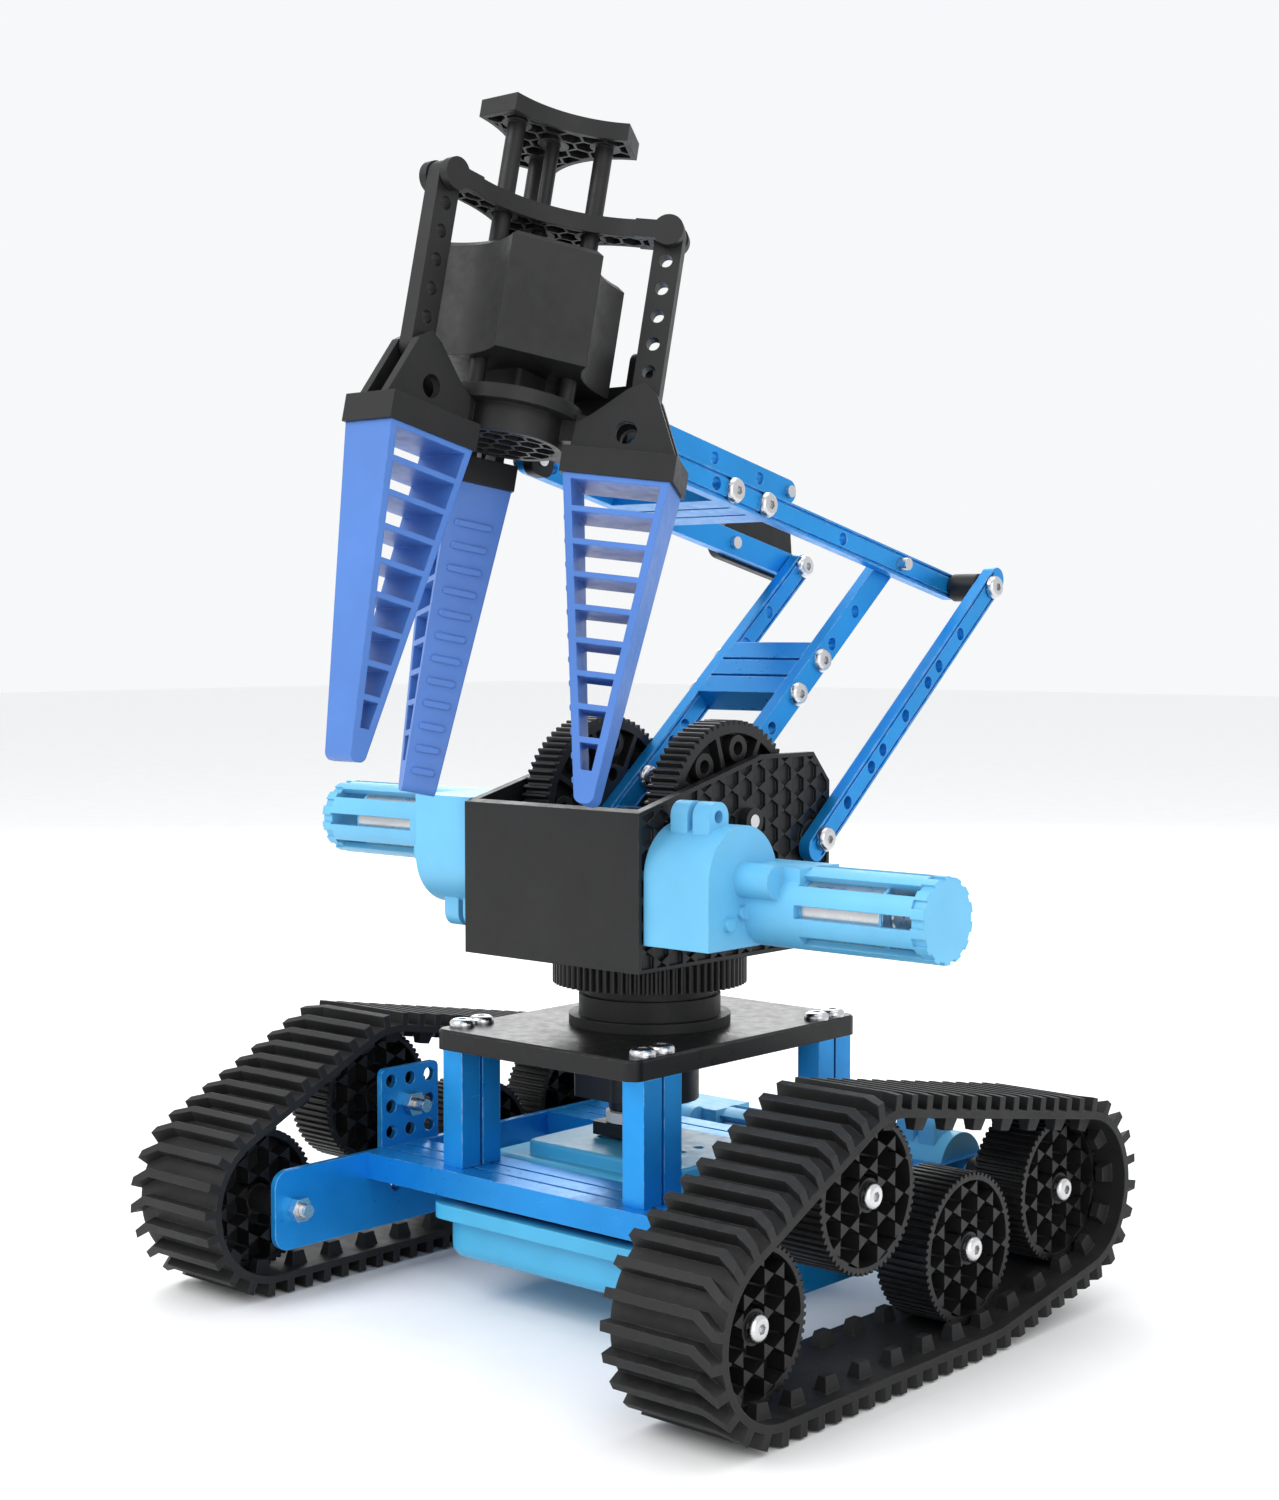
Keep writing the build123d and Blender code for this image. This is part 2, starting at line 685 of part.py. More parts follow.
link_head = Plane(origin=(link_x + bar_t + 0.3, link_low_y, link_low_z), x_dir=(0, 1, 0), z_dir=(1, 0, 0))
house_screws = [(link_head, 11.0)]
for corner in range(4):
    angle = math.radians(45 + 90 * corner)
    seat = (12 * math.cos(angle), slew_y + 12 * math.sin(angle), house_z + house_wall)
    house_screws.append((Plane(origin=seat, x_dir=(1, 0, 0), z_dir=(0, 0, 1)), 12.0))
save(screws(house_screws), "turret_screws")

# ---- arm drive: pinions and gears ----------------------------------------
to_motor = math.atan2(motor_z - shoulder_z, motor_y - shoulder_y)
pinion_w = 9.0
for side_name, side in (("left", 1), ("right", -1)):
    with BuildPart() as pinion:
        with BuildSketch(side_plane(side * gear_x - pinion_w / 2, motor_y, motor_z)):
            Polygon(*gear_outline(pinion_teeth, to_motor + math.pi + math.pi / pinion_teeth), align=None)
            Circle(screw_r + 0.04, mode=Mode.SUBTRACT)
        extrude(amount=pinion_w)
    save(pinion, "arm_pinion_" + side_name)

for side_name, side in (("left", 1), ("right", -1)):
    low = side * gear_x - gear_w / 2
    with BuildPart() as gear:
        with BuildSketch(side_plane(low, shoulder_y, shoulder_z)):
            Polygon(*gear_outline(gear_teeth, to_motor), align=None)
        extrude(amount=gear_w)
        for x, way in ((low, 1), (low + gear_w, -1)):
            with BuildSketch(side_plane(x, shoulder_y, shoulder_z)):
                Circle(pitch_r - 3.2)
                Circle(5.0, mode=Mode.SUBTRACT)
                with PolarLocations(21.0, 8, start_angle=boom_angle):
                    Circle(4.0, mode=Mode.SUBTRACT)
                with PolarLocations(18.0, 8, start_angle=boom_angle + 22.5):
                    Rectangle(18, 1.6, mode=Mode.SUBTRACT)
                Circle(14.5, mode=Mode.SUBTRACT)
            extrude(amount=way * 3.6, mode=Mode.SUBTRACT)
        with BuildSketch(side_plane(low, shoulder_y, shoulder_z, boom_angle)):
            with PolarLocations(21.0, 8):
                Circle(hole_r)
            Circle(screw_r + 0.04)
            with GridLocations(pitch, pitch, 3, 3):
                Circle(hole_r)
            with Locations((2 * pitch, 0), (-2 * pitch, 0), (0, 2 * pitch), (0, -2 * pitch)):
                Circle(hole_r)
        extrude(amount=gear_w, mode=Mode.SUBTRACT)
    save(gear, "arm_gear_" + side_name)


def arm_bar(x, start, angle, length, before, holes, groove=0):
    """Round-ended bar in the YZ plane.  start is hole 0; before is how far the bar
    runs past it; holes are distances along the bar."""
    dy, dz = yz(angle)
    middle = length / 2 - before
    y, z = start
    with BuildPart() as strip:
        with BuildSketch(side_plane(x, y + middle * dy, z + middle * dz, angle)):
            SlotOverall(length, bar_w)
        extrude(amount=bar_t)
        with BuildSketch(side_plane(x, y, z, angle)):
            with Locations(*[(h, 0) for h in holes]):
                Circle(screw_r + 0.06)
        extrude(amount=bar_t, mode=Mode.SUBTRACT)
        if groove:
            top = x + bar_t if groove > 0 else x
            for edge in (-1, 1):
                with BuildSketch(side_plane(top, y, z, angle)):
                    with Locations((middle, edge * (bar_w / 2 - 1.0))):
                        Rectangle(length - bar_w, 0.8)
                extrude(amount=-0.8 if groove > 0 else 0.8, mode=Mode.SUBTRACT)
    return strip


boom_holes = [(n - 1) * pitch for n in (0, 1, 3, 5, 6, 8, 10, 11, 13, 16)]
shoulder = (shoulder_y, shoulder_z)
elbow = (elbow_y, elbow_z)
for side_name, side in (("left", 1), ("right", -1)):
    low = boom_x if side > 0 else -boom_x - bar_t
    boom = arm_bar(low, shoulder, boom_angle, 17 * pitch, 1.5 * pitch, boom_holes, groove=-side)
    save(boom, "boom_" + side_name)

def arm_beam(start, angle, distance, length=2 * boom_x, width=24.0):
    """Slotted beam across the arm, centred this far along a bar."""
    dy, dz = yz(angle)
    plane = Plane(origin=(-length / 2, start[0] + distance * dy, start[1] + distance * dz),
                  x_dir=(0, dy, dz), z_dir=(1, 0, 0))
    with BuildPart() as beam:
        with BuildSketch(plane):
            Rectangle(width, beam_h)
            slots = [(o * pitch / 2, s * beam_h / 2) for o in (-1, 1) for s in (-1, 1)]
            with Locations(*slots):
                Rectangle(1.2, 5.0, mode=Mode.SUBTRACT)
            with GridLocations(pitch, 1, 3, 1):
                Circle(screw_r + 0.05, mode=Mode.SUBTRACT)
        extrude(amount=length)
    return beam


save(arm_beam(shoulder, boom_angle, 8 * pitch), "boom_cross_beam")
boom_screws = []
for side in (-1, 1):
    outer = side * (boom_x + bar_t)
    inner_side = side * boom_x
    for distance in (7 * pitch, 9 * pitch):
        seat = (outer, shoulder_y + distance * boom_dy, shoulder_z + distance * boom_dz)
        boom_screws.append((Plane(origin=seat, x_dir=(0, boom_dy, boom_dz), z_dir=(side, 0, 0)), 12.0))
    for distance in (-pitch, 2 * pitch):
        seat = (inner_side, shoulder_y + distance * boom_dy, shoulder_z + distance * boom_dz)
        boom_screws.append((Plane(origin=seat, x_dir=(0, boom_dy, boom_dz), z_dir=(-side, 0, 0)), 13.0))
    seat = (side * boom_x, elbow_y, elbow_z)
    boom_screws.append((Plane(origin=seat, x_dir=(0, boom_dy, boom_dz), z_dir=(-side, 0, 0)), 12.0))
save(screws(boom_screws), "boom_screws")

link_low = (link_low_y, link_low_z)
link_holes = [n * pitch for n in (0, 2, 4, 5, 7, 9, 10, 12, 15)]
rear_link = arm_bar(link_x, link_low, boom_angle, 17 * pitch, pitch, link_holes, groove=1)
save(rear_link, "rear_link")

# ---- forearm ---------------------------------------------------------------
fore_turn = 180 - fore_angle
fore_holes = [0, 4 * pitch, 9 * pitch, 11 * pitch, 12 * pitch, 15 * pitch, 16 * pitch]
tail_holes = [-tail_reach] + fore_holes
right_bar = arm_bar(fore_x, elbow, fore_turn, 21 * pitch, tail_reach + pitch / 2, tail_holes, groove=1)
save(right_bar, "forearm_bar_left")
left_bar = arm_bar(-fore_x - bar_t, elbow, fore_turn, 17 * pitch, pitch / 2, fore_holes, groove=-1)
save(left_bar, "forearm_bar_right")


def fore_point(along, above):
    """A point this far from the elbow along the forearm and above its middle line."""
    y = elbow_y + along * fore_dy + above * math.sin(tilt)
    z = elbow_z + along * fore_dz + above * math.cos(tilt)
    return (y, z)


upper_rise = 3 * pitch
upper_start = fore_point(pitch, upper_rise)
upper_bar = arm_bar(-fore_x - bar_t, upper_start, fore_turn, 16 * pitch, pitch / 2,
                    [n * pitch for n in (0, 2, 5, 8, 9, 12, 15)])
save(upper_bar, "forearm_upper_bar")
save(arm_beam(elbow, fore_turn, 10 * pitch, length=2 * fore_x), "forearm_cross_beam")

rocker_t = 3.4
rocker_x = -fore_x - bar_t - rocker_t
corners = [fore_point(0, 0), fore_point(4 * pitch, 0), fore_point(pitch, upper_rise)]
middle = (sum(c[0] for c in corners) / 3, sum(c[1] for c in corners) / 3)
with BuildPart() as rocker:
    with BuildSketch(Plane.YZ.offset(rocker_x)) as outline:
        with BuildLine():
            Polyline(*corners, close=True)
        make_face()
        offset(amount=5.0)
    extrude(amount=rocker_t)
    with BuildSketch(Plane.YZ.offset(rocker_x)):
        with BuildLine():
            Polyline(*corners, close=True)
        make_face()
        offset(amount=3.8)
        with Locations(middle):
            with HexLocations(3.0, 14, 14):
                RegularPolygon(2.6, 6, major_radius=False, rotation=30, mode=Mode.INTERSECT)
        with Locations(*corners):
            Circle(4.2, mode=Mode.SUBTRACT)
    extrude(amount=2.2, mode=Mode.SUBTRACT)
    with BuildSketch(Plane.YZ.offset(rocker_x)):
        with Locations(*corners):
            Circle(screw_r + 0.3)
    extrude(amount=rocker_t, mode=Mode.SUBTRACT)
save(rocker, "forearm_rocker")


def fore_plane(x, along, above, side):
    y, z = fore_point(along, above)
    return Plane(origin=(x, y, z), x_dir=(0, fore_dy, fore_dz), z_dir=(side, 0, 0))


fore_screws = [(fore_plane(link_x + bar_t + 0.3, -tail_reach, 0, 1), link_x + bar_t + 0.3 - fore_x)]
for side in (-1, 1):
    outer = side * (fore_x + bar_t)
    fore_screws.append((fore_plane(outer, fore_reach, 0, side), 8.0))
    for along in (9 * pitch, 11 * pitch):
        fore_screws.append((fore_plane(outer, along, 0, side), 12.0))
fore_screws.append((fore_plane(-fore_x - bar_t, fore_reach, upper_rise, -1), 8.0))
fore_screws.append((fore_plane(rocker_x, pitch, upper_rise, -1), 9.0))
fore_screws.append((fore_plane(rocker_x, 4 * pitch, 0, -1), 9.0))
save(screws(fore_screws), "forearm_screws")

# ---- claw -------------------------------------------------------------------
claw = Plane(origin=(0, claw_y, claw_z), x_dir=(1, 0, 0), z_dir=(0, math.sin(tilt), math.cos(tilt)))
ring_r = 16.0
ring_low = -6.0
deck_h = 14.0               # underside of the claw's motor
motor_h = 33.0
top_h = 82.0
post_r = 15.0
gap = 0.35


def finger_plane(turn, shift=0.0):
    """Radial plane of one finger: x outward from the claw's axis, y up along it."""
    a = math.radians(turn)
    radial = claw.x_dir * math.cos(a) + claw.y_dir * math.sin(a)
    normal = radial.cross(claw.z_dir)
    base = claw.origin + normal * shift
    return Plane(origin=base, x_dir=radial, z_dir=normal)


def lobed(reach, lobe, inner, turn=30.0):
    """Three-armed plate outline with concave sides."""
    with BuildSketch() as plate:
        with BuildLine():
            points = []
            for arm in range(3):
                for o, r in ((-lobe, reach), (lobe, reach)):
                    a = math.radians(turn + 120 * arm)
                    points.append((r * math.cos(a) - o * math.sin(a), r * math.sin(a) + o * math.cos(a)))
            mids = []
            for arm in range(3):
                a = math.radians(turn + 60 + 120 * arm)
                mids.append((inner * math.cos(a), inner * math.sin(a)))
            for arm in range(3):
                Line(points[2 * arm], points[2 * arm + 1])
                ThreePointArc(points[2 * arm + 1], mids[arm], points[(2 * arm + 2) % 6])
        make_face()
    return plate.sketch


with BuildPart() as claw_frame:
    with BuildSketch(claw.offset(top_h)):
        add(lobed(23.0, 7.0, 13.0))
        Circle(2.1, mode=Mode.SUBTRACT)
    extrude(amount=5)
    with BuildSketch(claw.offset(top_h)):
        add(lobed(21.5, 5.5, 11.5))
        with HexLocations(3.2, 16, 16):
            RegularPolygon(2.8, 6, major_radius=False, mode=Mode.INTERSECT)
        Circle(4.5, mode=Mode.SUBTRACT)
        with PolarLocations(post_r, 3, start_angle=finger_turns[0]):
            Circle(4.2, mode=Mode.SUBTRACT)
    extrude(amount=3, mode=Mode.SUBTRACT)
    with BuildSketch(claw.offset(deck_h + motor_h)):
        with PolarLocations(post_r, 3, start_angle=finger_turns[0]):
            Circle(2.6)
    extrude(amount=top_h - deck_h - motor_h + 1)
save(claw_frame, "claw_frame")

with BuildPart() as claw_motor:
    with BuildSketch(claw.offset(deck_h)):
        add(lobed(24.5, 13.0, 19.5, turn=90.0))
    extrude(amount=motor_h)
    chamfer(claw_motor.faces().sort_by(Axis(claw.origin, claw.z_dir))[-1].edges(), 1.5)
    with BuildSketch(claw.offset(deck_h + motor_h)):
        Circle(5.0)
    extrude(amount=3.5)
    with BuildSketch(claw.offset(deck_h + motor_h + 3.5)):
        Circle(2.0)
    extrude(amount=top_h - deck_h - motor_h - 3.5 + 4.0)
    with BuildSketch(claw.offset(6)):
        RectangleRounded(14, 12, 1.5)
    extrude(amount=deck_h - 6)
save(claw_motor, "claw_motor")

with BuildPart() as claw_ring:
    with BuildSketch(claw.offset(ring_low)):
        Circle(ring_r)
    extrude(amount=8)
    with BuildSketch(claw.offset(ring_low)):
        Circle(ring_r - 2)
        with HexLocations(3.2, 14, 14):
            RegularPolygon(2.8, 6, major_radius=False, mode=Mode.INTERSECT)
    extrude(amount=5, mode=Mode.SUBTRACT)
    with BuildSketch(claw.offset(2)):
        Circle(20.0)
    extrude(amount=4)
    with BuildSketch(claw.offset(6)):
        with PolarLocations(post_r, 3, start_angle=90.0 + 60.0):
            Circle(2.6)
    extrude(amount=deck_h - 6)
    for turn in finger_turns:
        with BuildSketch(finger_plane(turn, -2.4)):
            with BuildLine():
                Polyline((ring_r - 3, 5.5), (pivot_r + 1, 3.4), (pivot_r + 3.4, 0),
                         (pivot_r, -3.4), (ring_r - 3, -4), close=True)
            make_face()
        extrude(amount=4.8)
        with BuildSketch(finger_plane(turn, -2.4)):
            with Locations((pivot_r, 0)):
                Circle(pin_r + 0.06)
        extrude(amount=4.8, mode=Mode.SUBTRACT)
    with BuildSketch(claw.offset(-2)):
        with Locations((0, 21)):
            Rectangle(18, 22)
    extrude(amount=8)
    tail_y = claw_reach - fore_reach
    tail_half = fore_x - 0.1
    cheek_t = 3.6
    for x in (-tail_half, tail_half - cheek_t):
        tail = Plane(origin=claw.origin + Vector(x, 0, 0), x_dir=claw.y_dir, z_dir=(1, 0, 0))
        with BuildSketch(tail):
            with Locations((tail_y, upper_rise / 2)):
                RectangleRounded(9, upper_rise + 10, 3)
        extrude(amount=cheek_t)
    bridge = Plane(origin=claw.origin + Vector(-tail_half, 0, 0), x_dir=claw.y_dir, z_dir=(1, 0, 0))
    with BuildSketch(bridge):
        with Locations((tail_y, upper_rise / 2)):
            Rectangle(4, 15)
    extrude(amount=2 * tail_half)
    with BuildSketch(claw.offset(-2)):
        with Locations((0, tail_y)):
            Rectangle(18, 8)
    extrude(amount=8)
    with BuildSketch(bridge):
        with Locations((tail_y, 0), (tail_y, upper_rise)):
            Circle(hole_r)
    extrude(amount=2 * tail_half, mode=Mode.SUBTRACT)
save(claw_ring, "claw_ring")

yoke_t = 5.0
with BuildPart() as yoke:
    with BuildSketch(claw.offset(yoke_h - yoke_t / 2)):
        add(lobed(33.7, 5.2, 11.0))
        Circle(screw_r + 0.5, mode=Mode.SUBTRACT)
        with PolarLocations(post_r, 3, start_angle=finger_turns[0]):
            Circle(2.6 + gap, mode=Mode.SUBTRACT)
    extrude(amount=yoke_t)
    with BuildSketch(claw.offset(yoke_h - yoke_t / 2)):
        add(lobed(32.0, 3.9, 9.5))
        with HexLocations(3.0, 24, 24):
            RegularPolygon(2.6, 6, major_radius=False, mode=Mode.INTERSECT)
        Circle(4.5, mode=Mode.SUBTRACT)
        with PolarLocations(post_r, 3, start_angle=finger_turns[0]):
            Circle(4.4, mode=Mode.SUBTRACT)
    extrude(amount=3, mode=Mode.SUBTRACT)
    for turn in finger_turns:
        for low in (-5.4, 2.4 + gap):
            with BuildSketch(finger_plane(turn, low)):
                with Locations((lever_r, yoke_h)):
                    Circle(4.4)
                with Locations((lever_r - 5, yoke_h)):
                    Rectangle(9, 5.0)
            extrude(amount=5.4 - 2.4 - gap)
        with BuildSketch(finger_plane(turn, -5.4)):
            with Locations((lever_r, yoke_h)):
                Circle(pin_r)
        extrude(amount=10.8)
save(yoke, "claw_yoke")

names = ("left", "right", "front")
splay = math.radians(finger_splay)
base_low = -14.0
base_high = -6.5
finger_in = pivot_r - 4.0
for name, turn in zip(names, finger_turns):
    with BuildPart() as link:
        with BuildSketch(finger_plane(turn, -2.4)):
            with Locations((lever_r, lever_h + link_len / 2)):
                SlotOverall(link_len + pitch, pitch, rotation=90)
            with Locations(*[(lever_r, lever_h + n * link_len / 6) for n in range(1, 6)]):
                Circle(1.9, mode=Mode.SUBTRACT)
            with Locations((lever_r, lever_h + link_len)):
                Circle(pin_r + 0.06, mode=Mode.SUBTRACT)
            with Locations((lever_r, lever_h)):
                Circle(pin_r + gap + 0.15, mode=Mode.SUBTRACT)
        extrude(amount=4.8)
    save(link, "claw_link_" + name)

    with BuildPart() as base:
        with BuildSketch(finger_plane(turn, -finger_w_top / 2 - 0.5)):
            with BuildLine():
                Polyline((finger_in - 1, base_low), (finger_in + finger_top + 1, base_low),
                         (finger_in + finger_top + 1, base_high), (finger_in - 1, base_high), close=True)
            make_face()
        extrude(amount=finger_w_top + 1)
        for low in (-5.4, 2.4 + gap):
            with BuildSketch(finger_plane(turn, low)):
                with BuildLine():
                    Polyline((finger_in, base_high), (finger_in + finger_top, base_high),
                             (lever_r + 4, lever_h + 1), (lever_r, lever_h + 4), (lever_r - 4, lever_h + 2),
                             (pivot_r + 1, 4), (pivot_r - 3.5, 1), close=True)
                make_face()
                with Locations((lever_r - 3, -0.5)):
                    Circle(3.2, mode=Mode.SUBTRACT)
            extrude(amount=5.4 - 2.4 - gap)
        with BuildSketch(finger_plane(turn, -5.4)):
            with Locations((pivot_r, 0), (lever_r, lever_h)):
                Circle(pin_r)
        extrude(amount=10.8)
    save(base, "finger_base_" + name)

    tip_middle = finger_in + finger_top * 0.42 + finger_l * math.tan(splay)
    tip_low = base_low - finger_l
    inner_top, outer_top = finger_in, finger_in + finger_top
    inner_tip, outer_tip = tip_middle - finger_tip / 2, tip_middle + finger_tip / 2
    skin = 2.2
    with BuildPart() as finger:
        with BuildSketch(finger_plane(turn, -finger_w_top / 2)):
            with BuildLine():
                Polyline((inner_top, base_low), (outer_top, base_low),
                         (outer_tip, tip_low), (inner_tip, tip_low), close=True)
            make_face()
        extrude(amount=finger_w_top)
        lowest = finger.edges().group_by(Axis(claw.origin, claw.z_dir))[0]
        fillet(lowest.filter_by(Axis(claw.origin, finger_plane(turn).z_dir)), 2.2)
        rungs = 9
        for rung in range(rungs):
            top_z = tip_low + finger_l * (1 - rung / rungs * 0.9) - 1.6
            low_z = tip_low + finger_l * (1 - (rung + 1) / rungs * 0.9)
            inner_low, outer_low = (inner_tip + (inner_top - inner_tip) * (low_z - tip_low) / finger_l + skin,
                                    outer_tip + (outer_top - outer_tip) * (low_z - tip_low) / finger_l - skin)
            inner_up, outer_up = (inner_tip + (inner_top - inner_tip) * (top_z - tip_low) / finger_l + skin,
                                  outer_tip + (outer_top - outer_tip) * (top_z - tip_low) / finger_l - skin)
            with BuildSketch(finger_plane(turn, -finger_w_top / 2)):
                with BuildLine():
                    Polyline((inner_low, low_z), (outer_low, low_z), (outer_up, top_z), (inner_up, top_z), close=True)
                make_face()
            if outer_low - inner_low > 0.8:
                extrude(amount=finger_w_top, mode=Mode.SUBTRACT)
        radial = finger_plane(turn)
        face_on = Plane(origin=claw.origin, x_dir=radial.z_dir, z_dir=radial.x_dir)
        up = 1 if face_on.y_dir.dot(claw.z_dir) > 0 else -1
        with BuildSketch(face_on):
            with BuildLine():
                Polyline((-finger_w_top / 2, up * base_low), (finger_w_top / 2, up * base_low),
                         (finger_w_tip / 2, up * tip_low), (-finger_w_tip / 2, up * tip_low), close=True)
            make_face()
        extrude(amount=100, mode=Mode.INTERSECT)
    save(finger, "finger_" + name)
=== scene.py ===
"""Looks for the tracked robot arm kit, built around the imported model."""

import math

import bmesh
import bpy
from mathutils import Matrix, Vector


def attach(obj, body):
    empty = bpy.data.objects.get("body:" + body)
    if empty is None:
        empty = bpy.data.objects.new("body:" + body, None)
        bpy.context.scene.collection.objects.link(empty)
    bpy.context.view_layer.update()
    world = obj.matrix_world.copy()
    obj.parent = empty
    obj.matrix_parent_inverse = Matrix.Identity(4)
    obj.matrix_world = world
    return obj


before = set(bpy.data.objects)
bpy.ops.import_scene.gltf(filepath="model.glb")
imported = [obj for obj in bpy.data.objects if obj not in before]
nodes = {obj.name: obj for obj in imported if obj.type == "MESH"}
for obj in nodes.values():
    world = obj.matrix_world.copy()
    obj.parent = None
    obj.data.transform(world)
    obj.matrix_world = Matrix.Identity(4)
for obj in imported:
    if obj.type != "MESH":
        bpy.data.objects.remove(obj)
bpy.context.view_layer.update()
MM = 0.001

# ---- materials -------------------------------------------------------------
BROAD_SCALE = 38.0          # colour patches, per metre
MIDDLE_SCALE = 260.0        # patches of wear and of gloss, per metre
SCRATCH_SCALE = 1500.0
GRAIN_DEPTH = 0.12 * MM
DUST_COLOUR = (0.30, 0.29, 0.27)
BEVEL_SAMPLES = 4


def surface(name, base, rough, metal=0.0, spread=0.12, grain=2600.0, bump=0.12, stretch=(1, 1, 1),
            wear=(0.5, 0.5, 0.5), wear_amount=0.4, edge=0.35, scratch=0.0, dust=0.0, spec=0.5):
    """Procedural material: blotchy colour, fine grain, worn edges, scratches, dust and bump.

    spread is how far the colour varies, grain the fine noise's scale per metre, stretch its
    direction, edge the rounding radius in millimetres, and wear the colour of rubbed edges.
    """
    mat = bpy.data.materials.new(name)
    mat.use_nodes = True
    tree = mat.node_tree
    tree.nodes.clear()

    def node(kind, **values):
        made = tree.nodes.new(kind)
        for key, value in values.items():
            setattr(made, key, value)
        return made

    def link(a, b):
        tree.links.new(a, b)

    def noise(source, scale, detail=4.0, roughness=0.55):
        made = node("ShaderNodeTexNoise")
        made.inputs["Scale"].default_value = scale
        made.inputs["Detail"].default_value = detail
        made.inputs["Roughness"].default_value = roughness
        link(source, made.inputs["Vector"])
        return made.outputs["Fac"]

    def remap(source, low, high, out_low=0.0, out_high=1.0):
        made = node("ShaderNodeMapRange")
        made.inputs["From Min"].default_value = low
        made.inputs["From Max"].default_value = high
        made.inputs["To Min"].default_value = out_low
        made.inputs["To Max"].default_value = out_high
        link(source, made.inputs["Value"])
        return made.outputs["Result"]

    def times(a, b):
        made = node("ShaderNodeMath", operation="MULTIPLY")
        link(a, made.inputs[0])
        if isinstance(b, float):
            made.inputs[1].default_value = b
        else:
            link(b, made.inputs[1])
        return made.outputs[0]

    def mix(amount, first, second):
        made = node("ShaderNodeMix", data_type="RGBA")
        link(amount, made.inputs[0])
        for value, socket in ((first, made.inputs[6]), (second, made.inputs[7])):
            if isinstance(value, tuple):
                socket.default_value = (*value, 1.0)
            else:
                link(value, socket)
        return made.outputs[2]

    coords = node("ShaderNodeTexCoord").outputs["Object"]
    squeezed = node("ShaderNodeMapping")
    squeezed.inputs["Scale"].default_value = stretch
    link(coords, squeezed.inputs["Vector"])
    broad = noise(coords, BROAD_SCALE, 3.0)
    middle = noise(coords, MIDDLE_SCALE, 5.0, 0.65)
    fine = noise(squeezed.outputs["Vector"], grain, 3.0)

    dark = tuple(channel * (1.0 - spread) for channel in base)
    light = tuple(min(1.0, channel * (1.0 + spread)) for channel in base)
    colour = mix(remap(broad, 0.35, 0.65), dark, light)
    fleck = tuple(min(1.0, channel * (1.0 + 2.0 * spread) + 0.004) for channel in base)
    colour = mix(remap(fine, 0.5, 0.85, 0.0, 0.5), colour, fleck)

    rounded = node("ShaderNodeBevel", samples=BEVEL_SAMPLES)
    rounded.inputs["Radius"].default_value = edge * MM
    flat = node("ShaderNodeNewGeometry")
    dot = node("ShaderNodeVectorMath", operation="DOT_PRODUCT")
    link(rounded.outputs["Normal"], dot.inputs[0])
    link(flat.outputs["Normal"], dot.inputs[1])
    edges = remap(dot.outputs["Value"], 0.985, 0.80)
    worn = times(times(edges, remap(middle, 0.42, 0.62)), wear_amount)
    colour = mix(worn, colour, wear)

    rough_value = remap(middle, 0.3, 0.7, max(0.05, rough - 0.07), min(1.0, rough + 0.08))
    if scratch:
        turned = node("ShaderNodeMapping")
        turned.inputs["Rotation"].default_value = (0.5, 0.9, 0.3)
        turned.inputs["Scale"].default_value = (1.0, 0.03, 1.0)
        link(coords, turned.inputs["Vector"])
        lines = remap(noise(turned.outputs["Vector"], SCRATCH_SCALE, 2.0), 0.70, 0.76)
        lines = times(times(lines, remap(broad, 0.5, 0.62)), scratch)
        colour = mix(lines, colour, wear)
    if dust:
        up = node("ShaderNodeSeparateXYZ")
        link(flat.outputs["Normal"], up.inputs["Vector"])
        film = times(times(remap(up.outputs["Z"], 0.3, 1.0), remap(middle, 0.40, 0.75)), dust)
        colour = mix(film, colour, DUST_COLOUR)

    raised = node("ShaderNodeBump")
    raised.inputs["Strength"].default_value = bump
    raised.inputs["Distance"].default_value = GRAIN_DEPTH
    link(fine, raised.inputs["Height"])
    link(rounded.outputs["Normal"], raised.inputs["Normal"])

    shader = node("ShaderNodeBsdfPrincipled")
    shader.inputs["Metallic"].default_value = metal
    shader.inputs["Specular IOR Level"].default_value = spec
    link(colour, shader.inputs["Base Color"])
    link(rough_value, shader.inputs["Roughness"])
    link(raised.outputs["Normal"], shader.inputs["Normal"])
    out = node("ShaderNodeOutputMaterial")
    link(shader.outputs["BSDF"], out.inputs["Surface"])
    return mat


BARE = (0.62, 0.70, 0.78)
anodised = surface("anodised_blue", (0.008, 0.260, 0.660), 0.34, metal=0.55, spread=0.07, grain=5200.0,
                   bump=0.10,
                   wear=BARE, wear_amount=0.55, edge=0.45, scratch=0.22)
extruded = surface("extruded_blue", (0.007, 0.235, 0.620), 0.32, metal=0.55, spread=0.06, grain=3800.0,
                   bump=0.12,
                   stretch=(0.05, 1, 1), wear=BARE, wear_amount=0.55, edge=0.35, scratch=0.15)
moulded = surface("moulded_black", (0.0085, 0.0085, 0.009), 0.46, spread=0.25, grain=3600.0, bump=0.18,
                  wear=(0.07, 0.07, 0.072), wear_amount=0.6, edge=0.35, dust=0.015, spec=0.32)
printed = surface("housing_black", (0.0075, 0.0075, 0.008), 0.42, spread=0.22, grain=2400.0, bump=0.16,
                  wear=(0.085, 0.085, 0.09), wear_amount=0.6, edge=0.5, dust=0.012, scratch=0.05, spec=0.32)
gear_black = surface("gear_black", (0.010, 0.010, 0.0105), 0.38, spread=0.2, grain=3000.0, bump=0.12,
                     wear=(0.11, 0.11, 0.115), wear_amount=0.7, edge=0.3, dust=0.01, spec=0.32)
plate_black = surface("plate_black", (0.008, 0.008, 0.0085), 0.33, metal=0.25, spread=0.12, grain=4200.0,
                      bump=0.12,
                      wear=(0.22, 0.22, 0.23), wear_amount=0.5, edge=0.5, scratch=0.1, spec=0.32)
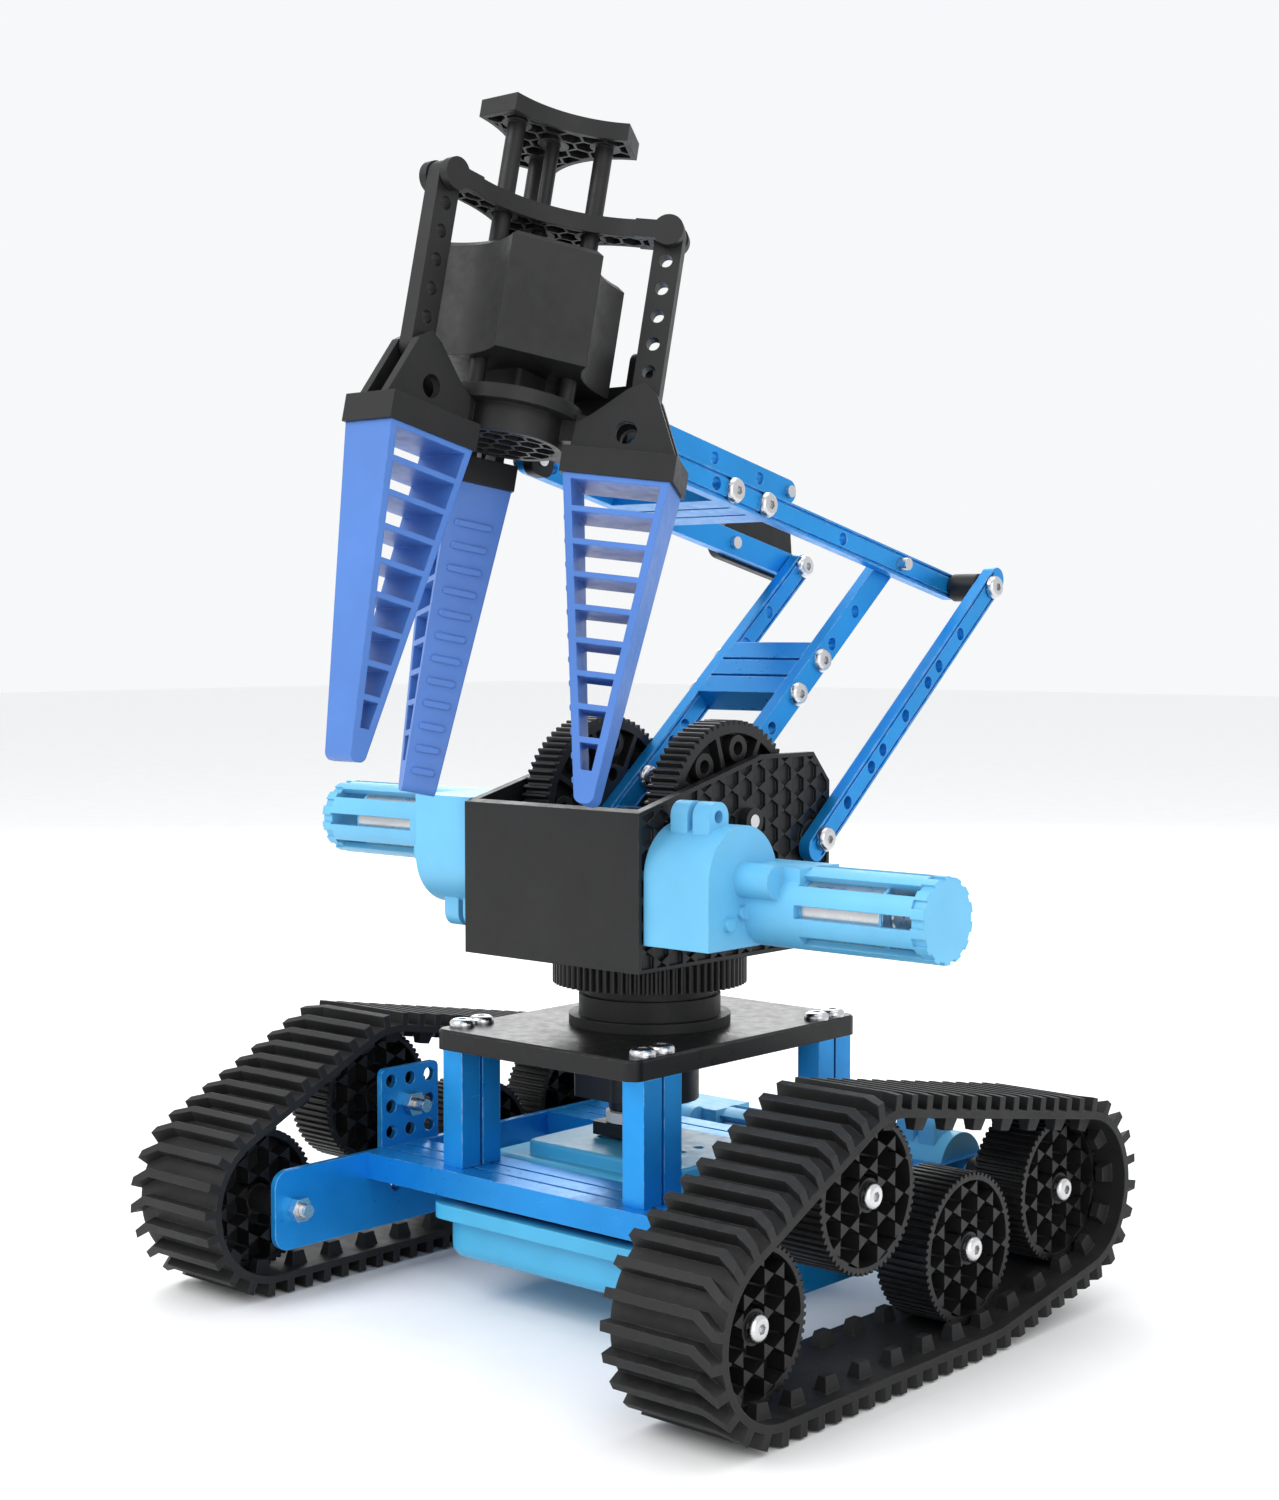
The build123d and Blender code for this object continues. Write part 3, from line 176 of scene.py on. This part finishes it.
rubber = surface("track_rubber", (0.0105, 0.0105, 0.011), 0.62, spread=0.3, grain=2200.0, bump=0.30,
                 wear=(0.075, 0.073, 0.070), wear_amount=0.75, edge=0.5, dust=0.035, spec=0.32)
wheel_black = surface("wheel_black", (0.009, 0.009, 0.0095), 0.44, spread=0.22, grain=2800.0, bump=0.16,
                      wear=(0.09, 0.09, 0.092), wear_amount=0.6, edge=0.3, dust=0.015, spec=0.32)
sky = surface("motor_blue", (0.125, 0.450, 0.710), 0.40, spread=0.05, grain=3000.0, bump=0.10,
              wear=(0.45, 0.78, 0.95), wear_amount=0.5, edge=0.5)
finger_blue = surface("finger_blue", (0.058, 0.170, 0.500), 0.40, spread=0.06, grain=3200.0, bump=0.12,
                      wear=(0.22, 0.38, 0.85), wear_amount=0.45, edge=0.5)
tray_blue = surface("control_cyan", (0.050, 0.370, 0.620), 0.38, spread=0.06, grain=3000.0, bump=0.10,
                    wear=(0.25, 0.68, 0.92), wear_amount=0.5, edge=0.6)
steel = surface("zinc_steel", (0.60, 0.60, 0.61), 0.24, metal=1.0, spread=0.10, grain=4200.0, bump=0.10,
                wear=(0.86, 0.86, 0.86), wear_amount=0.5, edge=0.2, scratch=0.3)
can_steel = surface("motor_can", (0.52, 0.53, 0.54), 0.30, metal=1.0, spread=0.08, grain=3600.0, bump=0.16,
                    stretch=(0.06, 1, 1), wear=(0.8, 0.8, 0.8), wear_amount=0.4, edge=0.3)
ivory = surface("coupler_white", (0.72, 0.72, 0.70), 0.42, spread=0.06, grain=2800.0, bump=0.14,
                wear=(0.9, 0.9, 0.9), wear_amount=0.4, edge=0.4)
ground = surface("floor", (0.93, 0.93, 0.93), 0.70, spread=0.012, grain=900.0, bump=0.02,
                 wear=(0.86, 0.86, 0.86), wear_amount=0.0, edge=0.1)

finish = {}
for name in ("side_plate_left", "side_plate_right", "wheel_brackets", "boom_left", "boom_right",
             "forearm_bar_left", "forearm_bar_right", "forearm_upper_bar", "rear_link"):
    finish[name] = anodised
for name in ("chassis_cross_beams", "boom_cross_beam", "forearm_cross_beam"):
    finish[name] = extruded
finish["turret_posts"] = anodised
for name in ("slew_motor", "slew_bush", "wheel_spacers", "shaft_collars", "forearm_rocker", "claw_frame",
             "claw_motor", "claw_ring", "claw_yoke"):
    finish[name] = moulded
for name in ("claw_link_", "finger_base_"):
    for which in ("left", "right", "front"):
        finish[name + which] = moulded
for which in ("left", "right", "front"):
    finish["finger_" + which] = finger_blue
for name in ("slew_gear", "arm_pinion_left", "arm_pinion_right", "arm_gear_left", "arm_gear_right"):
    finish[name] = gear_black
finish["turret_housing"] = printed
finish["base_plate"] = plate_black
for name in ("front_lower", "front_upper", "rear_lower", "drive"):
    for which in ("left", "right"):
        finish[name + "_wheel_" + which] = wheel_black
for which in ("left", "right"):
    finish["track_belt_" + which] = rubber
    finish["drive_motor_" + which] = sky
    finish["turret_motor_" + which] = sky
for name in ("control_tray", "control_lid"):
    finish[name] = tray_blue
for name in ("wheel_nuts", "chassis_screws", "arm_shaft", "turret_screws", "boom_screws", "forearm_screws"):
    finish[name] = steel

for name, cad in nodes.items():
    cad.data.materials.clear()
    cad.data.materials.append(finish[name])

# ---- pieces added to the frame ----------------------------------------------


def lathe(name, profile, matrix, material, body, segments=64):
    """A turned piece: profile is (radius, height) pairs in millimetres along local Z."""
    mesh = bpy.data.meshes.new(name)
    shape = bmesh.new()
    rings = []
    for radius, height in profile:
        ring = []
        for step in range(segments):
            turn = 2 * math.pi * step / segments
            x, y = radius * math.cos(turn) * MM, radius * math.sin(turn) * MM
            ring.append(shape.verts.new((x, y, height * MM)))
        rings.append(ring)
    pairs = list(zip(rings, rings[1:] + rings[:1]))
    for low, high in pairs:
        for step in range(segments):
            after = (step + 1) % segments
            shape.faces.new((low[step], low[after], high[after], high[step]))
    bmesh.ops.recalc_face_normals(shape, faces=shape.faces)
    shape.to_mesh(mesh)
    shape.free()
    mesh.transform(matrix)
    return placed(name, mesh, material, body)


def placed(name, mesh, material, body):
    """Puts a finished mesh in the scene with its material and body."""
    piece = bpy.data.objects.new(name, mesh)
    bpy.context.scene.collection.objects.link(piece)
    mesh.materials.append(material)
    for face in mesh.polygons:
        face.use_smooth = True
    crisp = piece.modifiers.new("crisp", "EDGE_SPLIT")
    crisp.split_angle = math.radians(35)
    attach(piece, body)
    return piece


def axes(origin, x_dir, y_dir, z_dir):
    """Matrix of a local frame: origin in millimetres, three unit directions."""
    columns = Matrix((x_dir, y_dir, z_dir)).transposed().to_4x4()
    return Matrix.Translation(Vector(origin) * MM) @ columns


SLEW_Y = -5.50              # slew axis
BASE_Z = 76.0               # underside of the base plate


# Silver cans seen through the slots of the motors' cages: shaft point, shaft direction,
# dome direction, barrel length.
CAN_R = 9.72
CAN_END_R = 5.0
CAGE_START = 41.5           # from the gearbox's face to the cage
CAGE_OFFSET = (11.0, 7.5)   # from the shaft to the barrel's axis: rearwards, and away from the dome
DRIVE = (SLEW_Y + 64.0, 36.0)
TURRET = (-32.483, 131.5)
MOTORS = {
    "drive_motor_left": ((70.0, *DRIVE), 1, 1, 45.0, "chassis"),
    "drive_motor_right": ((-70.0, *DRIVE), -1, 1, 45.0, "chassis"),
    "turret_motor_left": ((34.55, *TURRET), -1, 1, 60.0, "turret"),
    "turret_motor_right": ((-34.55, *TURRET), 1, -1, 60.0, "turret"),
}
for motor, ((x, y, z), out, up, barrel, body) in MOTORS.items():
    reach = (barrel - 22.0) * 0.72
    start = (x - out * CAGE_START, y + CAGE_OFFSET[0], z - CAGE_OFFSET[1] * up)
    matrix = axes(start, (0, 1, 0), (0, 0, -out), (-out, 0, 0))
    profile = [(0.5, 0.3), (CAN_R - 0.6, 0.3), (CAN_R, 0.9), (CAN_R, reach - 0.9),
               (CAN_R - 0.9, reach + 0.1), (CAN_END_R, reach + 0.1),
               (CAN_END_R - 0.4, reach + 0.7), (0.5, reach + 0.7)]
    lathe("can_" + motor, profile, matrix, can_steel, body)

# White coupler between the slew motor and its connector block.
lathe("slew_coupler", [(6.2, 0.0), (7.4, 0.4), (7.4, 3.6), (6.2, 4.0)],
      axes((-8.0, SLEW_Y, BASE_Z - 25.8), (1, 0, 0), (0, 1, 0), (0, 0, 1)), ivory, "chassis")

# ---- fingers and arm ------------------------------------------------------------
TILT = math.radians(13.0)   # the forearm rises to the front by this much
BOOM = math.radians(40.0)   # the booms lean to the rear at this angle
SHOULDER = Vector((0.0, -1.50, 144.5))
BOOM_REACH = 120.0
CLAW_REACH = 160.0
TAIL_REACH = 32.0
ELBOW = SHOULDER + BOOM_REACH * Vector((0.0, math.cos(BOOM), math.sin(BOOM)))
ALONG = Vector((0.0, -math.cos(TILT), math.sin(TILT)))
CLAW = ELBOW + CLAW_REACH * ALONG
CLAW_X = Vector((1.0, 0.0, 0.0))
CLAW_Y = Vector((0.0, math.cos(TILT), -math.sin(TILT)))
CLAW_Z = Vector((0.0, math.sin(TILT), math.cos(TILT)))

# Black collar that keeps the rear link clear of the forearm.
lathe("link_collar", [(2.15, 0.0), (4.2, 0.0), (4.6, 0.4), (4.6, 9.8), (4.2, 10.2), (2.15, 10.2)],
      axes(ELBOW - TAIL_REACH * ALONG + Vector((24.4, 0, 0)), (0, 1, 0), (0, 0, 1), (1, 0, 0)),
      moulded, "forearm")

# Raised ribs with round ends across each finger's gripping face.
PAD_TOP = Vector((20.0, -14.0))
PAD_TIP = Vector((36.32, -103.0))
PAD_W = (18.0, 10.0)        # width at the top and at the tip
RIB_COUNT = 12
RIB_H = 2.0
RIB_UP = 0.8
RIB_SINK = -0.4
RIB_FIRST, RIB_SPAN = 0.13, 0.80   # shares of the face's length
RIB_HALF = 0.33             # half a rib's length, as a share of the width
END_STEPS = 8


def pad_ribs(which, turn):
    """The ribs of one finger, which stands at this turn about the claw's axis."""
    angle = math.radians(turn)
    radial = CLAW_X * math.cos(angle) + CLAW_Y * math.sin(angle)
    side = radial.cross(CLAW_Z)
    down = (PAD_TIP - PAD_TOP).normalized()
    inward = Vector((-abs(down.y), -abs(down.x)))
    shape = bmesh.new()
    for rib in range(RIB_COUNT):
        share = RIB_FIRST + RIB_SPAN * rib / (RIB_COUNT - 1)
        middle = PAD_TOP.lerp(PAD_TIP, share)
        half = (PAD_W[0] + (PAD_W[1] - PAD_W[0]) * share) * RIB_HALF - RIB_H / 2
        rings = []
        for grow, rise in ((0.0, RIB_SINK), (0.0, RIB_UP - 0.2), (-0.2, RIB_UP)):
            ring = []
            for end in (1, -1):
                for step in range(END_STEPS + 1):
                    turn_to = math.radians(-90 + 180 * step / END_STEPS)
                    across = end * (half + (RIB_H / 2 + grow) * math.cos(turn_to))
                    along = end * (RIB_H / 2 + grow) * math.sin(turn_to)
                    flat = middle + down * along + inward * rise
                    point = CLAW + radial * flat.x + CLAW_Z * flat.y + side * across
                    ring.append(shape.verts.new(point * MM))
            rings.append(ring)
        count = len(rings[0])
        for low, high in zip(rings, rings[1:]):
            for step in range(count):
                after = (step + 1) % count
                shape.faces.new((low[step], low[after], high[after], high[step]))
        shape.faces.new(rings[-1])
        shape.faces.new(rings[0][::-1])
    bmesh.ops.recalc_face_normals(shape, faces=shape.faces)
    mesh = bpy.data.meshes.new("pad_ribs_" + which)
    shape.to_mesh(mesh)
    shape.free()
    placed("pad_ribs_" + which, mesh, finger_blue, "finger_" + which + "_body")


for which, turn in (("left", 30.0), ("right", 150.0), ("front", 270.0)):
    pad_ribs(which, turn)

# ---- stage --------------------------------------------------------------------


def panel(name, size, location, target, energy):
    """A soft rectangular light that faces the target."""
    data = bpy.data.lights.new(name, "AREA")
    data.shape = "RECTANGLE"
    data.size, data.size_y = size
    data.energy = energy
    light = bpy.data.objects.new(name, data)
    bpy.context.scene.collection.objects.link(light)
    light.location = location
    light.rotation_mode = "QUATERNION"
    light.rotation_quaternion = (Vector(target) - Vector(location)).to_track_quat("-Z", "Y")


MIDDLE = Vector((-0.005, -0.0045, 0.164))
panel("key", (0.9, 0.9), (-0.35, -1.05, 1.15), MIDDLE, 11.0)
panel("fill", (1.0, 1.2), (1.25, -0.55, 0.55), MIDDLE, 5.0)
panel("top", (1.3, 1.3), (0.1, 0.2, 1.5), MIDDLE, 5.0)
panel("rim", (0.7, 1.0), (-0.9, 0.9, 0.8), MIDDLE, 6.0)

world = bpy.data.worlds.new("studio")
bpy.context.scene.world = world
bpy.context.scene.view_settings.view_transform = "Standard"
world.use_nodes = True
world.node_tree.nodes["Background"].inputs["Color"].default_value = (0.98, 0.99, 1.0, 1.0)
world.node_tree.nodes["Background"].inputs["Strength"].default_value = 0.95

floor_mesh = bpy.data.meshes.new("floor")
FLOOR_HALF = 6.0
H = FLOOR_HALF
floor_mesh.from_pydata([(-H, -H, 0), (H, -H, 0), (H, H, 0), (-H, H, 0)], [], [(0, 1, 2, 3)])
floor = bpy.data.objects.new("floor", floor_mesh)
floor.location.z = -0.0002
bpy.context.scene.collection.objects.link(floor)
floor_mesh.materials.append(ground)

AZIMUTH = math.radians(41.5)
PITCH = math.radians(3.0)
DISTANCE = 0.685
TALL_FOV = math.radians(36.7)
camera_data = bpy.data.cameras.new("camera")
camera_data.sensor_width = 36.0
camera_data.lens = camera_data.sensor_width / 2 / math.tan(TALL_FOV / 2)
camera = bpy.data.objects.new("camera", camera_data)
bpy.context.scene.collection.objects.link(camera)
back = Vector((math.sin(AZIMUTH) * math.cos(PITCH), -math.cos(AZIMUTH) * math.cos(PITCH), math.sin(PITCH)))
camera.location = MIDDLE + back * DISTANCE
camera.rotation_mode = "QUATERNION"
camera.rotation_quaternion = (-back).to_track_quat("-Z", "Y")
bpy.context.scene.camera = camera
